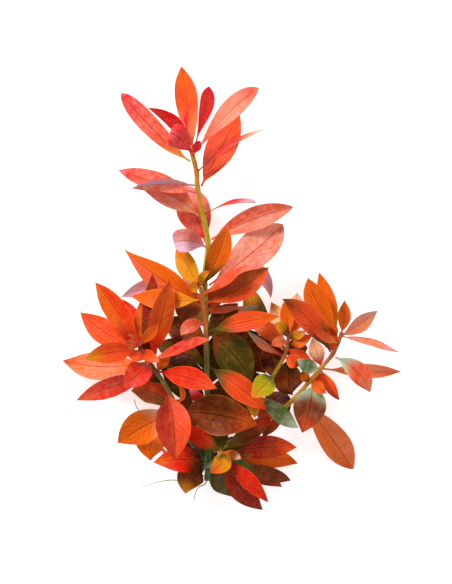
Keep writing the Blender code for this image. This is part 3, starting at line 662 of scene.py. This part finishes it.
# Stage: the floor, the size of the picture in pixels, the camera's sensor and the lights
FLOOR_HALF = 1.5
FLOOR_WHITE = 0.9
FLOOR_GLOW = 0.55
IMAGE_WIDTH = 452
IMAGE_HEIGHT = 584
SENSOR = 36
SKY = 0.42
KEY = 14.0
KEY_SPOT = (-0.6, 0.7, 0.8)
KEY_SIZE = 0.4
FILL = 3.0
FILL_SPOT = (0.8, -0.3, 0.8)
FILL_SIZE = 0.8


def linear(colour):
    """A screen colour as linear light."""
    c = np.array(colour) / 255
    return np.where(c <= 0.04045, c / 12.92, ((c + 0.055) / 1.055) ** 2.4)


def link(tree, start, end):
    """Join two sockets."""
    tree.links.new(start, end)


def node(tree, kind, **values):
    """A shader node with its settings and the values of its named inputs."""
    made = tree.nodes.new(kind)
    for key, value in values.items():
        if hasattr(made, key):
            setattr(made, key, value)
        else:
            made.inputs[key.replace("_", " ")].default_value = value
    return made


def maths(tree, operation, first, second=0.0, third=0.0):
    """The output of a sum on sockets or numbers."""
    made = tree.nodes.new("ShaderNodeMath")
    made.operation = operation
    for socket, value in zip(made.inputs, (first, second, third)):
        if hasattr(value, "links"):
            link(tree, value, socket)
        else:
            socket.default_value = value
    return made.outputs[0]


def ramp(tree, value, low, high):
    """A value as a smooth share between two levels."""
    made = tree.nodes.new("ShaderNodeMapRange")
    made.interpolation_type = "SMOOTHSTEP"
    link(tree, value, made.inputs["Value"])
    made.inputs["From Min"].default_value = low
    made.inputs["From Max"].default_value = high
    return made.outputs[0]


def tint(tree, share, base, colour, blend="MIX"):
    """A colour mixed over another by a share."""
    made = tree.nodes.new("ShaderNodeMix")
    made.data_type = "RGBA"
    made.blend_type = blend
    for socket, value in zip((made.inputs[0], made.inputs[6], made.inputs[7]),
                             (share, base, colour)):
        if hasattr(value, "links"):
            link(tree, value, socket)
        elif isinstance(value, float):
            socket.default_value = value
        else:
            socket.default_value = (*linear(value), 1)
    return made.outputs[2]


def new_material(name):
    """An empty material with its tree and its shader."""
    made = bpy.data.materials.new(name)
    made.use_nodes = True
    return made, made.node_tree, made.node_tree.nodes["Principled BSDF"]


def noise(tree, spot, scale, detail):
    """The value of a noise at a place."""
    made = node(tree, "ShaderNodeTexNoise", Scale=scale, Detail=detail)
    link(tree, spot, made.inputs["Vector"])
    return made.outputs["Fac"]


def leaf_material():
    """Leaf tissue: painted tones with a midrib, side veins, mottling, a painted pale sheen, a pale
    rim of painted light on some leaves, and a satin gloss.
    """
    made, tree, shader = new_material("leaf_tissue")
    paint = node(tree, "ShaderNodeAttribute", attribute_name="tone")
    # the alpha of the tone attribute is how strong the painted sheen is on the leaf
    tone, sheen_amount = paint.outputs["Color"], paint.outputs["Alpha"]
    blade = node(tree, "ShaderNodeAttribute", attribute_name="blade").outputs["Vector"]
    split = node(tree, "ShaderNodeSeparateXYZ")
    link(tree, blade, split.inputs[0])
    across, along, seed = split.outputs
    off = maths(tree, "ABSOLUTE", across)
    place_in = node(tree, "ShaderNodeTexCoord").outputs["Object"]

    grain = noise(tree, place_in, GRAIN_SCALE, 4.0)
    cloud = noise(tree, place_in, CLOUD_SCALE, 3.0)
    streaks = node(tree, "ShaderNodeCombineXYZ")
    link(tree, maths(tree, "MULTIPLY", across, STREAKS_ACROSS), streaks.inputs[0])
    link(tree, maths(tree, "MULTIPLY", along, STREAKS_ALONG), streaks.inputs[1])
    link(tree, seed, streaks.inputs[2])
    streak = noise(tree, streaks.outputs[0], 1.0, 3.0)

    bend = maths(tree, "POWER", off, VEIN_BEND)
    bent = maths(tree, "MULTIPLY_ADD", bend, VEIN_SLANT, along)
    waver = maths(tree, "MULTIPLY_ADD", cloud, VEIN_WAVER, bent)
    phase = maths(tree, "MULTIPLY", waver, VEIN_COUNT)
    saw = maths(tree, "ABSOLUTE", maths(tree, "SUBTRACT", maths(tree, "FRACT", phase), 0.5))
    vein = maths(tree, "MULTIPLY", ramp(tree, saw, 0.12, 0.0), ramp(tree, off, 0.92, 0.5))
    rib = ramp(tree, off, 0.075, 0.02)
    flank = maths(tree, "MULTIPLY", ramp(tree, off, 0.30, 0.08), maths(tree, "SUBTRACT", 1.0, rib))
    # a pale rim of painted light on some leaves: the glow of light through the thin margin
    rim = ramp(tree, off, 0.90, 0.985)
    spread = maths(tree, "SINE", maths(tree, "MULTIPLY", seed, RIM_GLOW_SPREAD))
    edge = maths(tree, "MULTIPLY", rim, ramp(tree, spread, -0.2, 0.4))

    dark = tint(tree, 1.0, tone, DARKER, "MULTIPLY")
    light = tint(tree, LIGHT_SHARE, tone, LIGHTER)
    colour = tone
    for mark, share, over in ((ramp(tree, cloud, 0.44, 0.66), CLOUD_SHARE, light),
                              (ramp(tree, streak, 0.48, 0.70), STREAK_SHARE, dark),
                              (ramp(tree, grain, 0.52, 0.64), SPECK_DARK_SHARE, dark),
                              (ramp(tree, grain, 0.46, 0.36), SPECK_LIGHT_SHARE, light),
                              (vein, VEIN_SHARE, dark),
                              (flank, FLANK_SHARE, light)):
        colour = tint(tree, maths(tree, "MULTIPLY", mark, share), colour, over)
    # painted sheen: pale highlight patches painted into the colour, stronger along the side veins
    sheen = noise(tree, place_in, SHEEN_SCALE, 2.0)
    glare = maths(tree, "MULTIPLY", ramp(tree, sheen, 0.25, 0.80), ramp(tree, grain, 0.20, 0.75))
    level = maths(tree, "MULTIPLY_ADD", vein, SHEEN_VEIN_SHARE, SHEEN_SHARE)
    glare = maths(tree, "MULTIPLY", glare, level)
    colour = tint(tree, maths(tree, "MULTIPLY", glare, sheen_amount), colour, SHEEN_TONE)
    colour = tint(tree, maths(tree, "MULTIPLY", rib, RIB_SHARE), colour, dark)
    colour = tint(tree, maths(tree, "MULTIPLY", edge, RIM_GLOW_SHARE), colour, light)
    link(tree, colour, shader.inputs["Base Color"])

    gloss = maths(tree, "MULTIPLY_ADD", grain, GLOSS_SPAN, GLOSS_LEAST)
    link(tree, gloss, shader.inputs["Roughness"])
    shader.inputs["Specular IOR Level"].default_value = LEAF_SPECULAR
    height = maths(tree, "MULTIPLY_ADD", vein, -0.6, maths(tree, "MULTIPLY", rib, -1.0))
    height = maths(tree, "MULTIPLY_ADD", cloud, 1.6, height)
    height = maths(tree, "MULTIPLY_ADD", streak, 0.8, height)
    bump = node(tree, "ShaderNodeBump", Strength=BUMP_STRENGTH, Distance=BUMP_DEPTH)
    link(tree, height, bump.inputs["Height"])
    link(tree, bump.outputs[0], shader.inputs["Normal"])
    return made


def stem_material():
    """Stem tissue: golden to olive along the stem with faint dark specks and paler patches."""
    made, tree, shader = new_material("stem_tissue")
    tone = node(tree, "ShaderNodeAttribute", attribute_name="tone").outputs["Color"]
    place_in = node(tree, "ShaderNodeTexCoord").outputs["Object"]
    grain = noise(tree, place_in, STEM_GRAIN_SCALE, 3.0)
    cloud = noise(tree, place_in, STEM_CLOUD_SCALE, 2.0)
    dark = tint(tree, 1.0, tone, DARKER, "MULTIPLY")
    light = tint(tree, STEM_LIGHT_SHARE, tone, STEM_LIGHT)
    speck = maths(tree, "MULTIPLY", ramp(tree, grain, 0.48, 0.66), STEM_MARK_SHARE)
    patch = maths(tree, "MULTIPLY", ramp(tree, cloud, 0.50, 0.66), STEM_MARK_SHARE)
    colour = tint(tree, speck, tone, dark)
    colour = tint(tree, patch, colour, light)
    link(tree, colour, shader.inputs["Base Color"])
    shader.inputs["Roughness"].default_value = 0.38
    shader.inputs["Specular IOR Level"].default_value = 0.35
    return made


def root_material():
    """Pale, slightly glassy root skin."""
    made, tree, shader = new_material("root_skin")
    place_in = node(tree, "ShaderNodeTexCoord").outputs["Object"]
    grain = noise(tree, place_in, ROOT_GRAIN_SCALE, 2.0)
    colour = tint(tree, grain, TONES["root"], ROOT_DEEP)
    link(tree, colour, shader.inputs["Base Color"])
    shader.inputs["Roughness"].default_value = 0.5
    return made


def floor_material():
    """Plain near-white paper on a light table."""
    made, _, shader = new_material("floor_paper")
    shader.inputs["Base Color"].default_value = (FLOOR_WHITE, FLOOR_WHITE, FLOOR_WHITE, 1)
    shader.inputs["Roughness"].default_value = 0.9
    shader.inputs["Specular IOR Level"].default_value = 0.1
    shader.inputs["Emission Color"].default_value = (1, 1, 1, 1)
    shader.inputs["Emission Strength"].default_value = FLOOR_GLOW
    return made


def piece(name, verts, faces, tissue, tones, blade=None):
    """A smooth mesh object with its tones and, on a leaf, the place of each point on the blade."""
    mesh = bpy.data.meshes.new(name)
    mesh.from_pydata(verts.tolist(), [], faces)
    mesh.shade_smooth()
    mesh.set_sharp_from_angle(angle=SHARP_FROM)
    paint = mesh.color_attributes.new("tone", "FLOAT_COLOR", "POINT")
    paint.data.foreach_set("color", tones.ravel())
    if blade is not None:
        spots = mesh.attributes.new("blade", "FLOAT_VECTOR", "POINT")
        spots.data.foreach_set("vector", blade.astype(float).ravel())
    mesh.materials.append(tissue)
    made = bpy.data.objects.new(name, mesh)
    bpy.context.scene.collection.objects.link(made)
    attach(made, "root")
    return made


def ease(value, start, end):
    """A smooth share between two places."""
    share = np.clip((value - start) / (end - start), 0, 1)[:, None]
    return share * share * (3 - 2 * share)


def with_alpha(colours, level):
    """Colours with one more value each."""
    return np.hstack((colours, np.full((len(colours), 1), float(level))))


def leaf_tones(name, along, across, under):
    """The painted colour of points on a leaf, from its stalk to its tip and on its underside."""
    entry = LEAVES[name]
    stalk, middle, end = (linear(TONES[word]) for word in entry.tones.split())
    bent = along - TONE_BEND * np.abs(across)
    colour = stalk + (middle - stalk) * ease(bent, *TO_MIDDLE)
    colour = colour + (end - colour) * ease(bent, *TO_TIP)
    # halves: partly own two-tone colour, partly painted light and shade of the folded blade
    if name in HALVES:
        left, right = (linear(TONES[word]) for word in HALVES[name])
        half = left + (right - left) * ease(across, -HALF_BLEND, HALF_BLEND)
        colour = colour + (half - colour) * HALF_SHARE
    drift = TONE_DRIFT * np.sin(entry.phase + 4 * along) * across
    colour = colour * (1 + drift[:, None])
    share = UNDERSIDE_SHARE * under[:, None]
    colour = colour * (1 - share) + linear(UNDERSIDE) * share
    # the fourth value is how strong the painted sheen is on this leaf
    return with_alpha(np.clip(colour, 0, 1), PAINTED_SHEEN.get(name, 0))


def leaf_piece(name, tissue):
    """A fine leaf in place of its plain solid, or of the shoot that it is fused to."""
    entry = LEAVES[name]
    columns = SLIM_ACROSS if entry.width < SLIM_WIDTH else FINE_ACROSS
    rows = np.linspace(0, 1, FINE_ROWS)
    verts, faces = leaf_solid(entry, rows, columns, LEAF_THICK)
    over = np.linspace(-1, 1, columns + 1)
    across = np.concatenate((over, over[-2:0:-1]))
    below = np.concatenate((np.zeros(columns + 1), np.ones(columns - 1)))
    count = len(across)
    along = np.append(np.repeat(rows[:-1], count), 1)
    across = np.append(np.tile(across, FINE_ROWS - 1), 0)
    below = np.append(np.tile(below, FINE_ROWS - 1), 0)
    tones = leaf_tones(name, along, across, below)
    blade = np.stack((across, along, np.full(len(along), entry.phase)), axis=1)
    made = piece("blade_" + name, verts, faces, tissue, tones, blade)
    carrier = "leaf_" + name if entry.own else "shoot_" + entry.shoot
    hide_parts(carrier)


def shoot_piece(name, tissue):
    """A fine stem with swollen joints where its leaves stand."""
    line, radii = shoot_axis(SHOOTS[name], STEM_STEPS)
    swell = np.zeros(len(line))
    for entry in LEAVES.values():
        if entry.shoot == name:
            seen = place(*entry.root, STEM_LEVEL)
            spot = line[int(np.argmin(np.hypot(*(line - seen).T[:2])))]
            reach = np.linalg.norm(line - spot, axis=1) / NODE_REACH
            swell = np.maximum(swell, np.exp(-reach ** 2))
    radii = radii + NODE_SWELL * swell
    verts, faces = tube(line, radii, STEM_SIDES)
    share = np.repeat(np.linspace(0, 1, len(line)), STEM_SIDES)
    foot, middle, end = (linear(colour) for colour in STEM_COLOURS[name])
    tones = foot + (middle - foot) * ease(share, *STEM_TO_MIDDLE)
    tones = tones + (end - tones) * ease(share, *STEM_TO_TIP)
    made = piece("stem_" + name, verts, faces, tissue, with_alpha(tones, 0))
    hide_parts("shoot_" + name)


def root_piece(name, skin):
    """A fine thin root that tapers to its end."""
    line = smooth_line([place(px, py, height * MM) for px, py, height in ROOTS[name]], ROOT_STEPS)
    radii = np.linspace(ROOT_THICK, ROOT_THICK / 2, len(line)) * MM / 2
    verts, faces = tube(line, radii, ROOT_SIDES)
    made = piece("thread_" + name, verts, faces, skin, np.ones((len(verts), 4)))
    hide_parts(name)


def floor():
    """The pale surface that the plant lies on."""
    half = FLOOR_HALF
    mesh = bpy.data.meshes.new("floor")
    mesh.from_pydata([(-half, -half, 0), (half, -half, 0), (half, half, 0), (-half, half, 0)],
                     [], [(0, 1, 2, 3)])
    mesh.materials.append(floor_material())
    made = bpy.data.objects.new("floor", mesh)
    bpy.context.scene.collection.objects.link(made)


def lamp(name, spot, size, power):
    """A square soft light that shines at the plant."""
    light = bpy.data.lights.new(name, "AREA")
    light.size = size
    light.energy = power
    made = bpy.data.objects.new(name, light)
    made.location = spot
    aim = -np.array(spot)
    tilt = math.atan2(math.hypot(aim[0], aim[1]), -aim[2])
    made.rotation_euler = (tilt, 0, math.atan2(-aim[0], aim[1]))
    bpy.context.scene.collection.objects.link(made)


def light_and_view():
    """Soft studio light from all round, and the camera that looks straight down."""
    world = bpy.data.worlds.new("studio")
    bpy.context.scene.world = world
    world.use_nodes = True
    sky = world.node_tree.nodes["Background"]
    sky.inputs["Color"].default_value = (1, 1, 1, 1)
    sky.inputs["Strength"].default_value = SKY
    lamp("key", KEY_SPOT, KEY_SIZE, KEY)
    lamp("fill", FILL_SPOT, FILL_SIZE, FILL)
    lens = bpy.data.cameras.new("camera")
    lens.sensor_fit = "HORIZONTAL"
    lens.sensor_width = SENSOR
    lens.lens = SENSOR * (EYE_HEIGHT - STEM_LEVEL) / (IMAGE_WIDTH * PIXEL)
    lens.clip_end = 10
    eye = bpy.data.objects.new("camera", lens)
    eye.location = ((IMAGE_WIDTH / 2 - MIDDLE_X) * PIXEL, (MIDDLE_Y - IMAGE_HEIGHT / 2) * PIXEL,
                    EYE_HEIGHT)
    bpy.context.scene.collection.objects.link(eye)
    bpy.context.scene.camera = eye
    bpy.context.scene.view_settings.view_transform = "Standard"


def main():
    """Dress the plant, light it and look at it."""
    tissue = leaf_material()
    for name in LEAVES:
        leaf_piece(name, tissue)
    bark = stem_material()
    for name in SHOOTS:
        shoot_piece(name, bark)
    skin = root_material()
    for name in ROOTS:
        root_piece(name, skin)
    floor()
    light_and_view()


main()
